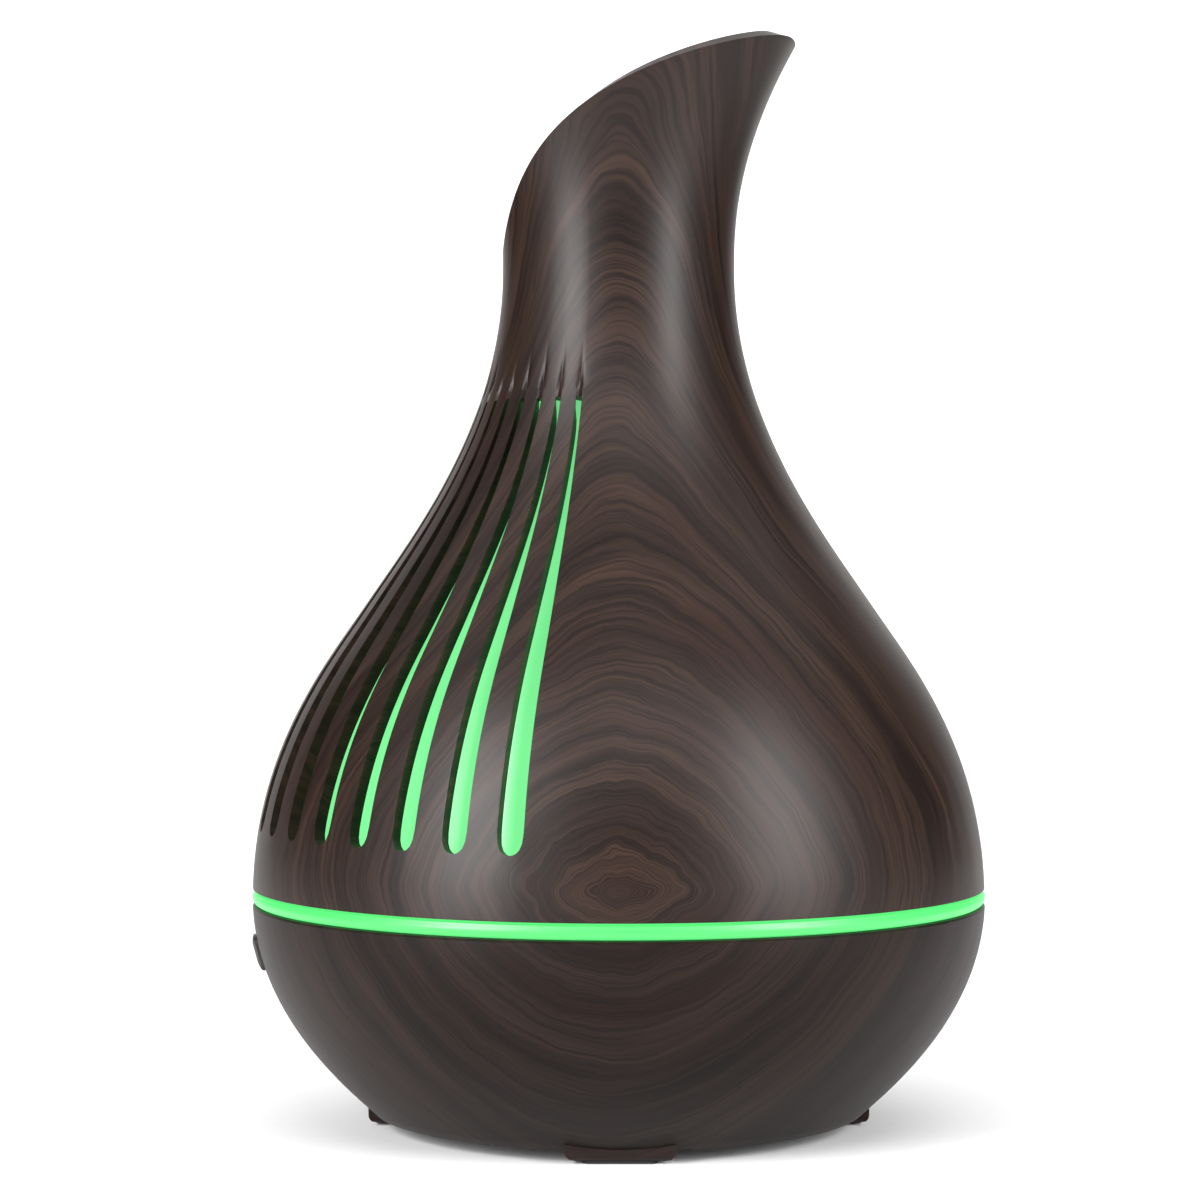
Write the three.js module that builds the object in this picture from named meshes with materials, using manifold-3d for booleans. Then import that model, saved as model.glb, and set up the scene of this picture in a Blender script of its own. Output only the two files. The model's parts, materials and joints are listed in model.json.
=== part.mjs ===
// Cool mist humidifier: a woodgrain bowl and a gourd-shaped cover that ends in a slanted mist spout.
// Millimetres, +Z up. The origin is the centre of the base on the surface that it stands on.
// The spout leans towards +X, which is the back. The buttons and the lit slots face -X, the front.
import * as THREE from 'three';
import { mergeVertices } from 'three/addons/utils/BufferGeometryUtils.js';
import Module from 'manifold-3d';

const wasm = await Module();
wasm.setup();

// ---- Driving dimensions ----
const fitGap = 0.3;
const seamHeight = 52; // the widest level, where the light ring runs round the body
const ringRadius = 84.2;
const ringLow = 50.7;
const ringHigh = 54;
const bowlBottom = 2.5;
const bowlWall = 2.5;
const bowlTop = ringLow - fitGap;
const ledgeLow = 4.8;
const ledgeHigh = 6.8;
const ledgeInner = 47.5;
const plateRadius = 49.5;
const plateTop = 4.5;
const coverBottom = ringHigh + fitGap;
const coverTop = 248.5;
const coverWall = 2.7;
const neckRadius = 26.8;
const neckHeight = 196;

const slotCount = 18;
const slotPitch = THREE.MathUtils.degToRad(8.7);
const slotHalfAngle = THREE.MathUtils.degToRad(2);
const slotLow = 67.5;
const slotHigh = 165;

const shadeInset = 11.5; // the inner cover follows the outer cover this far inside it
const shadeWall = 2;
const shadeTop = 186;

const footCount = 4;
const footOuter = 57;
const footInner = 50.4;
const footWidth = 25.4;
const footTaper = 1.2;
const footBottom = 0.4;
const footBlockTop = 8;
const padLength = 16;
const padDepth = 4;
const padCentre = 53.6;
const padCorner = 1.5;
const padTop = 1.4;

const tankOuter = 69;
const tankWall = 2;
const tankFloorLow = 23;
const tankFloorHigh = 25;
const tankFloorRadius = 56;
const tankFloorPlateRadius = 52;
const tankCurveTop = 37.5;
const flangeLow = 47.5;
const flangeHigh = 49.8;
const flangeRadius = 80.7;
const upstandInner = 77.7;
const upstandTop = 53.8;
const discHole = 8.5;
const chimneyY = 48;
const chimneyOuter = 7.5;
const chimneyInner = 5.9;
const chimneyTop = 52.5;

const screwCircle = 40;
const screwCount = 4;
const retainerCircle = 16.5;
const retainerCount = 3;

const fanY = 22;
const fanSide = 40;
const fanLow = 4.9;
const fanHigh = 14.9;

const buttonY = 9.5;
const buttonZ = 39.5;
const buttonSize = 8;
const buttonProud = 1;
const buttonCorner = 2;

const ledCount = 6;
const ledCircle = 72.5;

const coarse = 12; // steps round a small part
const medium = 24;
const fine = 40; // steps round the body

// ---- Finishes ----
const finishes = {
  woodgrain: { color: 0x42352f, roughness: 0.42, metalness: 0 },
  footPlastic: { color: 0x3a2a27, roughness: 0.5, metalness: 0 },
  greenGlow: { color: 0x6cf593, roughness: 0.4, metalness: 0 },
  shade: { color: 0xb9f7c8, roughness: 0.45, metalness: 0 },
  blackPlastic: { color: 0x1b1a19, roughness: 0.55, metalness: 0 },
  tankPlastic: { color: 0xe6e8e6, roughness: 0.4, metalness: 0 },
  rubber: { color: 0x151515, roughness: 0.85, metalness: 0 },
  board: { color: 0x1f5a36, roughness: 0.5, metalness: 0 },
  steel: { color: 0xb8babd, roughness: 0.3, metalness: 1 },
  aluminium: { color: 0xc2c5c8, roughness: 0.4, metalness: 1 },
  brassDisc: { color: 0xc8a968, roughness: 0.3, metalness: 1 },
  copper: { color: 0xb06a3a, roughness: 0.4, metalness: 1 },
  lamp: { color: 0xf2f4e8, roughness: 0.3, metalness: 0 },
};

// ---- The body's side, from the bottom edge up to the tip of the spout, as radius and height ----
const sideCurves = [
  [[56.2, bowlBottom], [61.8, 7.9], [ringRadius, 25.5], [ringRadius, seamHeight]],
  [[ringRadius, seamHeight], [ringRadius, 86.1], [66.3, 107.1], [59.2, 117.7]],
  [[59.2, 117.7], [49.1, 132.9], [neckRadius, 160], [neckRadius, neckHeight]],
  [[neckRadius, neckHeight], [neckRadius, 204.7], [26.5, 222.7], [41.2, coverTop]],
].map((points) => new THREE.CubicBezierCurve(...points.map(([r, z]) => new THREE.Vector2(r, z))));

// The point on the side at a height, moved in along the surface normal.
function sidePoint(height, inset) {
  const curve = sideCurves.find((piece) => height <= piece.v3.y) ?? sideCurves.at(-1);
  let low = 0;
  let high = 1;
  for (let step = 0; step < 40; step += 1) {
    const middle = (low + high) / 2;
    if (curve.getPoint(middle).y < height) low = middle;
    else high = middle;
  }
  const point = curve.getPoint(high);
  const tangent = curve.getTangent(high);
  return [point.x - tangent.y * inset, point.y + tangent.x * inset];
}

function sidePoints(from, to, steps, inset) {
  return Array.from({ length: steps + 1 }, (_, i) => sidePoint(from + ((to - from) * i) / steps, inset));
}

// ---- Making solids ----
// Joins shared corners, drops flat triangles and turns the faces outwards.
function solidOf(geometry) {
  const bare = geometry.clone();
  bare.deleteAttribute('normal');
  bare.deleteAttribute('uv');
  const merged = mergeVertices(bare, 1e-4);
  const corners = merged.attributes.position;
  const index = Array.from(merged.index.array);
  const triangles = [];
  let volume = 0;
  for (let i = 0; i < index.length; i += 3) {
    const [a, b, c] = index.slice(i, i + 3);
    if (a === b || b === c || c === a) continue;
    triangles.push([a, b, c]);
    const [p, q, r] = [a, b, c].map((k) => new THREE.Vector3().fromBufferAttribute(corners, k));
    volume += p.dot(q.cross(r));
  }
  const outward = volume > 0 ? triangles : triangles.map(([a, b, c]) => [a, c, b]);
  return new wasm.Manifold(
    new wasm.Mesh({
      numProp: 3,
      vertProperties: Float32Array.from(corners.array),
      triVerts: Uint32Array.from(outward.flat()),
    }),
  );
}

// A ring or a disc: the outline is a list of radius and height, and closes on itself or on the axis.
function revolve(outline, segments) {
  const onAxis = outline[0][0] === 0 && outline.at(-1)[0] === 0;
  const points = onAxis ? outline : [...outline, outline[0]];
  const profile = points.map(([r, z]) => new THREE.Vector2(r, z));
  return solidOf(new THREE.LatheGeometry(profile, segments).rotateX(Math.PI / 2));
}

function disc(radius, low, high, segments = coarse) {
  return revolve([[0, low], [radius, low], [radius, high], [0, high]], segments);
}

function ring(inner, outer, low, high, segments = coarse) {
  return revolve([[inner, low], [outer, low], [outer, high], [inner, high]], segments);
}

function block(xLow, xHigh, yLow, yHigh, zLow, zHigh) {
  const box = new THREE.BoxGeometry(xHigh - xLow, yHigh - yLow, zHigh - zLow);
  return solidOf(box.translate((xLow + xHigh) / 2, (yLow + yHigh) / 2, (zLow + zHigh) / 2));
}

function roundedRectangle(width, height, corner) {
  const x = width / 2;
  const y = height / 2;
  const shape = new THREE.Shape();
  shape.moveTo(-x + corner, -y);
  shape.lineTo(x - corner, -y);
  shape.absarc(x - corner, -y + corner, corner, -Math.PI / 2, 0);
  shape.lineTo(x, y - corner);
  shape.absarc(x - corner, y - corner, corner, 0, Math.PI / 2);
  shape.lineTo(-x + corner, y);
  shape.absarc(-x + corner, y - corner, corner, Math.PI / 2, Math.PI);
  shape.lineTo(-x, -y + corner);
  shape.absarc(-x + corner, -y + corner, corner, Math.PI, Math.PI * 1.5);
  return shape;
}

function extrude(shape, depth, curveSegments = 3) {
  return new THREE.ExtrudeGeometry(shape, { depth, bevelEnabled: false, steps: 1, curveSegments });
}

// A rounded peg that runs along X between two depths, centred on y and z.
function pegAlongX(width, height, corner, xLow, xHigh, y, z) {
  const geometry = extrude(roundedRectangle(width, height, corner), xHigh - xLow);
  geometry.rotateX(Math.PI / 2);
  geometry.rotateZ(Math.PI / 2);
  return solidOf(geometry.translate(xLow, y, z));
}

function around(count, startAngle, make) {
  return Array.from({ length: count }, (_, i) => make(startAngle + (i * 2 * Math.PI) / count, i));
}

function joined(solids) {
  return solids.reduce((whole, solid) => whole.add(solid));
}

const humidifier = new THREE.Group();

function addPart(name, solid, finish, position = [0, 0, 0], turn = 0) {
  const { vertProperties, triVerts } = solid.getMesh();
  const geometry = new THREE.BufferGeometry();
  geometry.setAttribute('position', new THREE.BufferAttribute(Float32Array.from(vertProperties), 3));
  geometry.setIndex(Array.from(triVerts));
  geometry.computeVertexNormals();
  const mesh = new THREE.Mesh(geometry, new THREE.MeshStandardMaterial(finishes[finish]));
  mesh.name = name;
  mesh.position.set(...position);
  mesh.rotation.z = turn;
  humidifier.add(mesh);
}

// ---- Bowl, bottom plate, feet ----
function addBowl() {
  const outline = [
    [plateRadius + fitGap + 0.2, bowlBottom],
    ...sidePoints(bowlBottom, bowlTop, 6, 0),
    ...sidePoints(bowlTop, 5, 5, bowlWall),
    [ledgeInner, ledgeHigh],
    [ledgeInner, ledgeLow],
    [plateRadius + fitGap + 0.2, ledgeLow],
  ];
  const plugRecess = new THREE.CylinderGeometry(6, 6, 20, 20).rotateZ(Math.PI / 2);
  let bowl = revolve(outline, fine);
  bowl = bowl.subtract(solidOf(plugRecess.translate(67.8, 0, 12.5)));
  const hole = buttonSize + 2 * fitGap;
  for (const side of [-1, 1]) {
    bowl = bowl.subtract(pegAlongX(hole, hole, buttonCorner, -90, -74, side * buttonY, buttonZ));
  }
  addPart('base_bowl', bowl, 'woodgrain');
}

function addBottomPlate() {
  const headPocket = 3;
  const screwHole = 1.6;
  let plate = disc(plateRadius, bowlBottom, plateTop, fine);
  const spots = around(screwCount, Math.PI / 4, (angle) => [
    screwCircle * Math.cos(angle),
    screwCircle * Math.sin(angle),
  ]);
  for (const [x, y] of spots) {
    plate = plate.add(disc(4.2, plateTop - 0.5, 6.9).translate(x, y, 0));
    plate = plate.subtract(disc(headPocket, 0, 4.7).translate(x, y, 0));
    plate = plate.subtract(disc(screwHole, 0, 10).translate(x, y, 0));
  }
  const posts = [[-40, -19], [-40, 19], [-25, -19], [-25, 19]];
  for (const [x, y] of posts) plate = plate.add(disc(1.5, plateTop - 0.5, 7.5, 6).translate(x, y, 0));
  const ventHalfLengths = [7, 10.5, 11.5, 10.5, 7];
  ventHalfLengths.forEach((half, i) => {
    const y = fanY + (i - 2) * 5;
    plate = plate.subtract(block(-half, half, y - 1.3, y + 1.3, 0, 10));
  });
  addPart('bottom_plate', plate, 'blackPlastic');
}

function addFeet() {
  const half = footWidth / 2;
  const corner = 2.4;
  const face = new THREE.Shape();
  face.moveTo(-half, footBlockTop);
  face.lineTo(-half + footTaper, footBottom + corner);
  face.quadraticCurveTo(-half + footTaper, footBottom, -half + footTaper + corner, footBottom);
  face.lineTo(half - footTaper - corner, footBottom);
  face.quadraticCurveTo(half - footTaper, footBottom, half - footTaper, footBottom + corner);
  face.lineTo(half, footBlockTop);
  const prism = extrude(face, footOuter - footInner, 3);
  prism.rotateX(Math.PI / 2);
  prism.rotateZ(Math.PI / 2);
  prism.translate(footInner, 0, 0);
  const underBowl = revolve(
    [[0, bowlBottom - fitGap], ...sidePoints(bowlBottom, 30, 6, -fitGap), [0, 30]],
    fine,
  );
  const padShape = (grow, low, high) => {
    const shape = roundedRectangle(padDepth + grow, padLength + grow, padCorner);
    return solidOf(extrude(shape, high - low).translate(padCentre, 0, low));
  };
  const foot = solidOf(prism).subtract(underBowl).subtract(padShape(2 * fitGap, -1, padTop + fitGap));
  const pad = padShape(0, 0, padTop);
  around(footCount, 0, (angle, i) => {
    addPart(`foot_${i + 1}`, foot, 'footPlastic', [0, 0, 0], angle);
    addPart(`foot_pad_${i + 1}`, pad, 'rubber', [0, 0, 0], angle);
  });
}

// A pan-head screw that stands on its head, with the shank upwards from z = 0.
function screw(headRadius, headHeight, shankRadius, length) {
  return revolve(
    [
      [0, 0],
      [headRadius * 0.8, 0],
      [headRadius, headHeight * 0.4],
      [headRadius, headHeight],
      [shankRadius, headHeight],
      [shankRadius, length - shankRadius],
      [0, length],
    ],
    8,
  );
}

function addBottomScrews() {
  const bottomScrew = screw(2.7, 1.5, 1.25, 12.5);
  around(screwCount, Math.PI / 4, (angle, i) => {
    const spot = [screwCircle * Math.cos(angle), screwCircle * Math.sin(angle), 2.9];
    addPart(`bottom_screw_${i + 1}`, bottomScrew, 'steel', spot);
  });
}

// ---- Light ring and water tank ----
function addLightRing() {
  const inner = flangeRadius + fitGap;
  const chamfer = 0.5;
  const outline = [
    [inner, ringLow],
    [ringRadius - chamfer, ringLow],
    [ringRadius, ringLow + chamfer],
    [ringRadius, ringHigh - chamfer],
    [ringRadius - chamfer, ringHigh],
    [inner, ringHigh],
  ];
  addPart('light_ring', revolve(outline, fine), 'greenGlow');
}

// A quarter of an ellipse from the tank's flat floor to its upright wall.
function tankCurve(floorZ, wallRadius, steps) {
  return Array.from({ length: steps + 1 }, (_, i) => {
    const angle = (i / steps) * (Math.PI / 2);
    const across = (wallRadius - tankFloorRadius) * Math.sin(angle);
    return [tankFloorRadius + across, tankCurveTop - (tankCurveTop - floorZ) * Math.cos(angle)];
  });
}

// The tank is one moulding, held here as its wall with the flange, its floor with the bosses, and its flue.
function addWaterTank() {
  const wallInner = tankFloorPlateRadius + fitGap;
  const outline = [
    [wallInner, tankFloorLow],
    ...tankCurve(tankFloorLow, tankOuter, 3),
    [tankOuter, flangeLow],
    [flangeRadius, flangeLow],
    [flangeRadius, upstandTop],
    [upstandInner, upstandTop],
    [upstandInner, flangeHigh],
    [tankOuter - tankWall, flangeHigh],
    ...tankCurve(tankFloorHigh, tankOuter - tankWall, 3).reverse(),
    [wallInner, tankFloorHigh],
  ];
  const chimneyHole = disc(chimneyOuter + fitGap, 10, 60).translate(0, chimneyY, 0);
  addPart('water_tank', revolve(outline, fine).subtract(chimneyHole), 'tankPlastic');

  const underFloor = tankFloorLow + 0.5;
  const bossBore = 1.6;
  const bossOuter = 3.5;
  const bossLow = 7.2;
  const bosses = around(screwCount, Math.PI / 4, (angle) => {
    const boss = ring(bossBore, bossOuter, bossLow, underFloor, 10);
    return boss.translate(screwCircle * Math.cos(angle), screwCircle * Math.sin(angle), 0);
  });
  const earBore = 1.2;
  const earOuter = 3;
  const earLow = 19.1;
  const ears = around(retainerCount, Math.PI / 6, (angle) => {
    const boss = ring(earBore, earOuter, earLow, underFloor, 10);
    return boss.translate(retainerCircle * Math.cos(angle), retainerCircle * Math.sin(angle), 0);
  });
  const plate = ring(discHole, tankFloorPlateRadius, tankFloorLow, tankFloorHigh, fine);
  const floor = plate.add(joined(bosses)).add(joined(ears));
  addPart('tank_floor', floor.subtract(chimneyHole), 'tankPlastic');

  const chimney = ring(chimneyInner, chimneyOuter, tankFloorLow, chimneyTop, 16);
  addPart('air_chimney', chimney, 'tankPlastic', [0, chimneyY, 0]);
}

// ---- Mist maker under the tank floor ----
function addMistMaker() {
  const gasketInner = discHole - 0.5;
  const gasketOuter = 12.5;
  const gasketLow = 20.8;
  const discRadius = 10;
  const discLow = 19.1;
  const discHigh = gasketLow - fitGap;
  const retainerInner = 7;
  const retainerOuter = 13.2;
  const retainerLow = 17.1;
  const retainerHigh = discLow - fitGap;
  const lugRadius = 3.6;
  const lugHole = 1.2;
  const retainerScrewLow = 15.6;
  addPart('disc_gasket', ring(gasketInner, gasketOuter, gasketLow, tankFloorLow - fitGap, medium), 'rubber');
  addPart('ultrasonic_disc', disc(discRadius, discLow, discHigh, medium), 'brassDisc');
  let retainer = ring(retainerInner, retainerOuter, retainerLow, retainerHigh, medium);
  const spots = around(retainerCount, Math.PI / 6, (angle) => [
    retainerCircle * Math.cos(angle),
    retainerCircle * Math.sin(angle),
  ]);
  for (const [x, y] of spots) {
    retainer = retainer.add(disc(lugRadius, retainerLow, retainerHigh).translate(x, y, 0));
    retainer = retainer.subtract(disc(lugHole, 0, discHigh).translate(x, y, 0));
  }
  retainer = retainer.subtract(disc(retainerInner, 0, discHigh, medium));
  addPart('disc_retainer', retainer, 'blackPlastic');
  const retainerScrew = screw(1.9, 1.2, 0.9, 6);
  spots.forEach(([x, y], i) => {
    addPart(`retainer_screw_${i + 1}`, retainerScrew, 'steel', [x, y, retainerScrewLow]);
  });
}

// ---- Fan and air duct ----
function addFan() {
  const half = fanSide / 2;
  const chamber = 17;
  const intake = 12;
  const chamberLow = 6.4;
  const coverLow = 13.7;
  const outletHalf = 6.5;
  const outletLow = 8.7;
  const sleeveLow = 8.9;
  const sleeveInner = 1.25;
  const sleeveOuter = 2.5;
  const coilInner = 2.8;
  const coilOuter = 6.4;
  const coilLow = 9;
  let housing = block(-half, half, -half, half, fanLow, coverLow - fitGap);
  housing = housing.subtract(disc(chamber, chamberLow, fanHigh, medium));
  housing = housing.subtract(disc(intake, 0, fanHigh, medium));
  housing = housing.subtract(block(-outletHalf, outletHalf, 0, half + 1, outletLow, fanHigh));
  addPart('fan_housing', housing.translate(0, fanY, 0), 'blackPlastic');
  const lid = block(-half, half, -half, half, coverLow, fanHigh);
  addPart('fan_cover', lid, 'blackPlastic', [0, fanY, 0]);
  const sleeve = ring(sleeveInner, sleeveOuter, sleeveLow, coverLow - fitGap, 12);
  addPart('fan_bearing', sleeve, 'brassDisc', [0, fanY, 0]);

  const rotorLow = 7;
  const rotorHigh = 12.4;
  const hubRadius = 8;
  const hubWall = 1;
  const hubFloor = 8.2;
  const bladeCount = 10;
  const bladeTip = 15.5;
  const bladeHalf = 0.5;
  const shaftRadius = 0.9;
  const shaftHigh = 12.8;
  addPart('fan_coil', ring(coilInner, coilOuter, coilLow, rotorHigh), 'copper', [0, fanY, 0]);
  const hub = revolve(
    [
      [0, rotorLow],
      [hubRadius, rotorLow],
      [hubRadius, rotorHigh],
      [hubRadius - hubWall, rotorHigh],
      [hubRadius - hubWall, hubFloor],
      [0, hubFloor],
    ],
    medium,
  );
  const blades = around(bladeCount, 0, (angle) => {
    const blade = block(hubRadius - 0.4, bladeTip, -bladeHalf, bladeHalf, rotorLow, rotorHigh);
    return blade.rotate([0, 0, THREE.MathUtils.radToDeg(angle)]);
  });
  addPart('fan_rotor', hub.add(joined(blades)), 'blackPlastic', [0, fanY, 0]);
  addPart('fan_shaft', disc(shaftRadius, hubFloor + fitGap, shaftHigh, 12), 'steel', [0, fanY, 0]);
}

function addAirDuct() {
  const low = 7.2;
  const wall = 1.5;
  const ductHalf = 8;
  const elbowTop = 16;
  const channelTop = 13.4;
  const inletY = fanY + fanSide / 2 + fitGap;
  const farY = chimneyY + chimneyOuter;
  let duct = block(-ductHalf, ductHalf, inletY, farY, low, elbowTop);
  const riser = disc(chimneyOuter, fanHigh + fitGap, tankFloorLow - fitGap, 16);
  const channelHalf = ductHalf - wall;
  duct = duct.add(riser.translate(0, chimneyY, 0));
  duct = duct.subtract(block(-channelHalf, channelHalf, inletY - 1, farY - wall, low + wall, channelTop));
  duct = duct.subtract(disc(chimneyInner, low + wall, tankFloorHigh, 16).translate(0, chimneyY, 0));
  addPart('air_duct', duct, 'blackPlastic');
}

// ---- Boards and their parts ----
function addMainBoard() {
  const boardLow = 7.8;
  const boardTop = 9.4;
  const seat = boardTop + fitGap;
  addPart('main_board', block(-52, -22, -24, 24, boardLow, boardTop), 'board');

  // The heat sink: a back wall with fins towards -X.
  const sinkTop = 19.5;
  const finRoot = 12;
  const finPitch = 4;
  let sink = block(-42, -30, -21, -1, seat, sinkTop);
  for (let y = -18; y < -2; y += finPitch) {
    sink = sink.subtract(block(-43, -33, y - finPitch / 4, y + finPitch / 4, finRoot, sinkTop + 1));
  }
  addPart('heat_sink', sink, 'aluminium');
  addPart('drive_transistor', block(-29.7, -25.2, -16, -6, seat, 18.5), 'blackPlastic');

  // The inductor is a waisted drum, and the capacitors are cans with a crimped foot.
  const drumSide = [[4.5, 0], [4.5, 1.2], [3.6, 1.8], [3.6, 5.6], [4.5, 6.2], [4.5, 7.4]];
  const drumOutline = [[0, 0], ...drumSide, [0, 7.4]];
  const inductorSpot = [-45, 11, seat];
  addPart('drive_inductor', revolve(drumOutline, 16), 'copper', inductorSpot);
  const canOutline = [[0, 0], [3, 0], [3, 1.2], [2.7, 1.6], [3, 2], [3, 8.6], [2.6, 9], [0, 9]];
  const can = revolve(canOutline, 16);
  const canX = -32;
  [5, 14].forEach((y, i) => addPart(`capacitor_${i + 1}`, can, 'aluminium', [canX, y, seat]));
}

function addPowerJack() {
  const face = 57.5;
  const centreZ = 12.5;
  const bodyHalf = 4.6;
  const socketRadius = 3.1;
  const socketDepth = 8.5;
  const pinRadius = 1;
  const pinEnd = face - 0.8;
  const pinLength = 10;
  const bar = (radius, length, end, segments) => {
    const cylinder = new THREE.CylinderGeometry(radius, radius, length, segments);
    return solidOf(cylinder.rotateZ(Math.PI / 2).translate(end - length / 2, 0, centreZ));
  };
  const body = block(46, face, -bodyHalf, bodyHalf, 8, 17);
  const bored = body.subtract(bar(socketRadius, socketDepth + 0.5, face + 0.5, 20));
  addPart('dc_jack', bored.add(bar(pinRadius, pinLength, pinEnd, 12)), 'blackPlastic');
}

function addLights() {
  const ledBoardInner = 69.5;
  const ledBoardOuter = 75.6;
  const ledBoardLow = 30;
  const ledBoardHigh = 31.6;
  const lampHalf = 2.5;
  const lampHeight = 1.6;
  addPart('led_board', ring(ledBoardInner, ledBoardOuter, ledBoardLow, ledBoardHigh, medium), 'board');
  const lampLow = ledBoardHigh + fitGap;
  const lamp = block(-lampHalf, lampHalf, -lampHalf, lampHalf, lampLow, lampLow + lampHeight);
  around(ledCount, Math.PI / 6, (angle, i) => {
    const spot = [ledCircle * Math.cos(angle), ledCircle * Math.sin(angle), 0];
    addPart(`led_${i + 1}`, lamp, 'lamp', spot, angle);
  });
}

// ---- Two push buttons at the front, each in front of its own switch ----
function addButtons() {
  const boardX = -69.6;
  const boardThick = 1.2;
  addPart('button_board', block(boardX - boardThick, boardX, -15, 15, 34, 46), 'board');
  const proudSide = revolve(
    [[0, 20], ...sidePoints(20, seamHeight - 1, 6, -buttonProud), [0, seamHeight - 1]],
    fine,
  );
  const switchHalf = 3;
  const switchBack = -71.1;
  const switchFace = -73.3;
  const plungerTip = -74.1;
  const flangeSize = 9.4;
  const flangeBack = -75.4;
  const flangeFace = -76.6;
  const stemBack = -76;
  const stemReach = -90;
  const names = { '-1': 'light', 1: 'mist' };
  for (const side of [-1, 1]) {
    const y = side * buttonY;
    const plunger = pegAlongX(3, 3, 0.8, plungerTip, switchFace + 1.3, y, buttonZ);
    const body = block(
      switchFace, switchBack, y - switchHalf, y + switchHalf, buttonZ - switchHalf, buttonZ + switchHalf,
    );
    addPart(`${names[side]}_switch`, body.add(plunger), 'blackPlastic');
    const stem = pegAlongX(buttonSize, buttonSize, buttonCorner, stemReach, stemBack, y, buttonZ);
    const flange = pegAlongX(flangeSize, flangeSize, buttonCorner, flangeFace, flangeBack, y, buttonZ);
    addPart(`${names[side]}_button`, stem.intersect(proudSide).add(flange), 'blackPlastic');
  }
}

// ---- Covers ----
function addInnerCover() {
  const foot = flangeHigh + fitGap;
  const shadePoints = (steps, inset) => Array.from({ length: steps + 1 }, (_, i) => {
    const height = foot + ((shadeTop - foot) * i) / steps;
    return [sidePoint(height, 0)[0] - inset, height];
  });
  const outline = [...shadePoints(9, shadeInset), ...shadePoints(9, shadeInset + shadeWall).reverse()];
  addPart('inner_cover', revolve(outline, medium), 'shade');
}

// One slot's cutter: a wedge with its edge on the axis, and a cone that rounds the slot's lower end.
function slotCutter(angle) {
  const reach = 95;
  const endHeight = slotLow + ringRadius * Math.tan(slotHalfAngle);
  const side = reach * Math.tan(slotHalfAngle);
  const plan = new THREE.Shape();
  plan.moveTo(0, 0);
  plan.lineTo(reach, -side);
  plan.lineTo(reach, side);
  const wedge = extrude(plan, slotHigh - endHeight).translate(0, 0, endHeight);
  const cone = new THREE.ConeGeometry(side, reach, 8);
  cone.rotateZ(Math.PI / 2).translate(reach / 2, 0, endHeight);
  return solidOf(wedge).add(solidOf(cone)).rotate([0, 0, THREE.MathUtils.radToDeg(angle)]);
}

function addOuterCover() {
  const outline = [
    ...sidePoints(coverBottom, coverTop, 14, 0),
    ...sidePoints(coverTop, coverBottom, 9, coverWall),
  ];
  const mouth = new THREE.Shape();
  mouth.moveTo(-60, neckHeight);
  mouth.lineTo(-27.4, neckHeight);
  mouth.bezierCurveTo(-24.3, 224.6, -8.7, 234.9, 41.5, 248.8);
  mouth.lineTo(60, 250);
  mouth.lineTo(60, 270);
  mouth.lineTo(-60, 270);
  const mouthCut = extrude(mouth, 120, 8).rotateX(Math.PI / 2).translate(0, 60, 0);
  const cutters = Array.from({ length: slotCount }, (_, i) => {
    return slotCutter(Math.PI + (i - (slotCount - 1) / 2) * slotPitch);
  });
  const cover = revolve(outline, fine).subtract(solidOf(mouthCut)).subtract(joined(cutters));
  addPart('outer_cover', cover, 'woodgrain');
}

addBowl();
addBottomPlate();
addFeet();
addBottomScrews();
addLightRing();
addWaterTank();
addMistMaker();
addFan();
addAirDuct();
addMainBoard();
addPowerJack();
addLights();
addButtons();
addInnerCover();
addOuterCover();

export default humidifier;
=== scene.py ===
"""Cool mist humidifier: the finished look of every piece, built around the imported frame."""
import functools
import json
import math

import bmesh
import bpy
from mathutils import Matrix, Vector


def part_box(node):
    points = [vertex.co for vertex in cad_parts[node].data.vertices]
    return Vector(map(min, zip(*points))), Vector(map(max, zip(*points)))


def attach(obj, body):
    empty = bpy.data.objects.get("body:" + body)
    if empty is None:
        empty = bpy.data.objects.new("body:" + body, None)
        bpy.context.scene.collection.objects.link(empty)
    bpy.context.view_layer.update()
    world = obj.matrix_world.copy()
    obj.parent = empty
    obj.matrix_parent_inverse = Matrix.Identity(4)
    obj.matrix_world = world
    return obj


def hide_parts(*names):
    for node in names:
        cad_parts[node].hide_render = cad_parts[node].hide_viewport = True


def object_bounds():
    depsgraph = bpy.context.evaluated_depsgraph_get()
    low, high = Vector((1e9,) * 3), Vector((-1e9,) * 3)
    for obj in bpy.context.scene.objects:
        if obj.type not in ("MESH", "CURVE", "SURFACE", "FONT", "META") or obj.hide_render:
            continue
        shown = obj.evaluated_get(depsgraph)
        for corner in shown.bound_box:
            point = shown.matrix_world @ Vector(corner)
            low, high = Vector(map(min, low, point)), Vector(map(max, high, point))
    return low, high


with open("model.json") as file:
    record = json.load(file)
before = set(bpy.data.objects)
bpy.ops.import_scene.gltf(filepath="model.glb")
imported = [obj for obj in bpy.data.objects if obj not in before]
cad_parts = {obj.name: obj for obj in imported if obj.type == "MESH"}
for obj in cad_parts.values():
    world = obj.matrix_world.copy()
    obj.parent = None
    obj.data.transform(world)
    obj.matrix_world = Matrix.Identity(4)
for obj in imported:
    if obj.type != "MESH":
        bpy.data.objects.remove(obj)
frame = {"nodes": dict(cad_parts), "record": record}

bl_info = {
    "name": "Cool Mist Humidifier",
    "version": (1, 0, 0),
    "blender": (4, 5, 0),
    "location": "3D View > Sidebar > Humidifier",
    "description": "Builds the shells, lights, buttons and tank of a woodgrain cool mist humidifier",
    "category": "Object",
}

CAD_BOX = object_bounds()
MM = 0.001

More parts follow.
